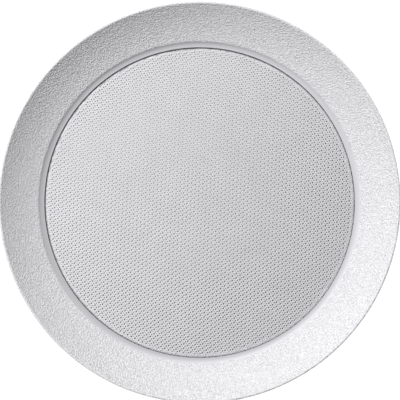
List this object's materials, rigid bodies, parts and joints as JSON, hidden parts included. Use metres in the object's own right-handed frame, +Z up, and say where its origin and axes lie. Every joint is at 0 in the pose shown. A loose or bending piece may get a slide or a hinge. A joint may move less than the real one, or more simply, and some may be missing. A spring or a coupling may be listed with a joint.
{
  "type": "round pocket speaker",
  "caption": "Round upright pocket speaker: blasted metal housing with a dished front ring round a domed micro-perforated grille, sealed driver chamber and keys at the back.",
  "frame": {"origin": "middle of the underside of the rubber foot, on the table", "axes": "+Z up through the middle of the grille, +Y towards the back with the keys, +X to the right seen from the front"},
  "size_m": [0.06, 0.0603, 0.066],
  "materials": {
    "blasted_aluminium": "fine bead-blasted and clear anodised",
    "grille_steel": "micro-perforated sheet, silver lacquer",
    "dust_cloth": "thin woven acoustic cloth",
    "black_foam": "closed-cell foam",
    "pale_plastic": "fine spark-eroded texture",
    "foot_rubber": "matt silicone",
    "screw_steel": "zinc-nickel plated",
    "black_plastic": "moulded glass-filled plastic",
    "switch_steel": "stamped cover",
    "socket_steel": "drawn and nickel plated",
    "clear_plastic": "frosted clear plastic",
    "led_resin": "cast resin",
    "gold_can": "gold-flashed can",
    "black_rubber": "moulded rubber",
    "board_green": "glass-fibre board with solder mask",
    "chip_epoxy": "moulded epoxy",
    "ferrite": "sintered and ground",
    "capacitor_can": "bare drawn can",
    "white_ceramic": "fired ceramic",
    "ivory_plastic": "moulded nylon",
    "cell_wrap": "heat-sealed foil",
    "white_tape": "double-sided foam tape",
    "red_sleeve": "soft insulation",
    "chamber_plastic": "moulded plastic",
    "grey_felt": "needled felt",
    "basket_steel": "pressed and zinc plated",
    "surround_rubber": "moulded half roll",
    "cone_paper": "coated paper",
    "coil_paper": "wound film",
    "copper_wire": "lacquered copper wire",
    "spider_cloth": "resin-stiffened cloth",
    "motor_steel": "turned and zinc plated",
    "magnet_nickel": "nickel plated",
    "phenolic": "punched laminate"
  },
  "bodies": {
    "speaker_body": {"housing": "blasted_aluminium", "grille": "grille_steel", "dust_cloth": "dust_cloth", "grille_seal": "black_foam", "base_plate": "pale_plastic", "foot_ring": "foot_rubber", "base_screws": "screw_steel", "switch_bodies": "switch_steel", "usb_shell": "socket_steel", "usb_tongue": "black_plastic", "light_pipe": "clear_plastic", "light_chip": "led_resin", "microphone": "gold_can", "microphone_boot": "black_rubber", "main_board": "board_green", "board_screws": "screw_steel", "processor_chip": "chip_epoxy", "amplifier_chip": "chip_epoxy", "inductors": "ferrite", "capacitors": "capacitor_can", "antenna": "white_ceramic", "battery_connector": "ivory_plastic", "speaker_connector": "ivory_plastic", "battery_cell": "cell_wrap", "battery_pad": "white_tape", "protection_board": "board_green", "battery_leads": "red_sleeve", "rear_chamber": "chamber_plastic", "baffle": "chamber_plastic", "chamber_seal": "black_foam", "wire_grommet": "black_rubber", "damping_felt": "grey_felt", "speaker_leads": "red_sleeve", "driver_basket": "basket_steel", "driver_gasket": "black_foam", "surround": "surround_rubber", "spider": "spider_cloth", "yoke": "motor_steel", "magnet": "magnet_nickel", "pole_washer": "motor_steel", "terminal_board": "phenolic", "driver_screws": "screw_steel"},
    "diaphragm": {"cone": "cone_paper", "dust_cap": "cone_paper", "voice_coil_former": "coil_paper", "voice_coil_winding": "copper_wire"},
    "power_key": {"power_button": "pale_plastic", "power_plunger": "black_plastic"},
    "volume_down_key": {"volume_down_button": "pale_plastic", "volume_down_plunger": "black_plastic"},
    "volume_up_key": {"volume_up_button": "pale_plastic", "volume_up_plunger": "black_plastic"}
  },
  "joints": [
    {"name": "cone_travel", "type": "slide", "parent": "speaker_body", "child": "diaphragm", "axis": [0, 0, 1], "range_m": [-0.0012, 0.0012], "stiffness_N_per_m": 1500, "deforming": ["surround", "spider"]},
    {"name": "power_press", "type": "slide", "parent": "speaker_body", "child": "power_key", "axis": [-0.4695, -0.883, 0], "range_m": [0, 0.00025], "stiffness_N_per_m": 1500},
    {"name": "volume_down_press", "type": "slide", "parent": "speaker_body", "child": "volume_down_key", "axis": [-0.2079, -0.9781, 0], "range_m": [0, 0.00025], "stiffness_N_per_m": 1500},
    {"name": "volume_up_press", "type": "slide", "parent": "speaker_body", "child": "volume_up_key", "axis": [0.0697, -0.9976, 0], "range_m": [0, 0.00025], "stiffness_N_per_m": 1500}
  ]
}
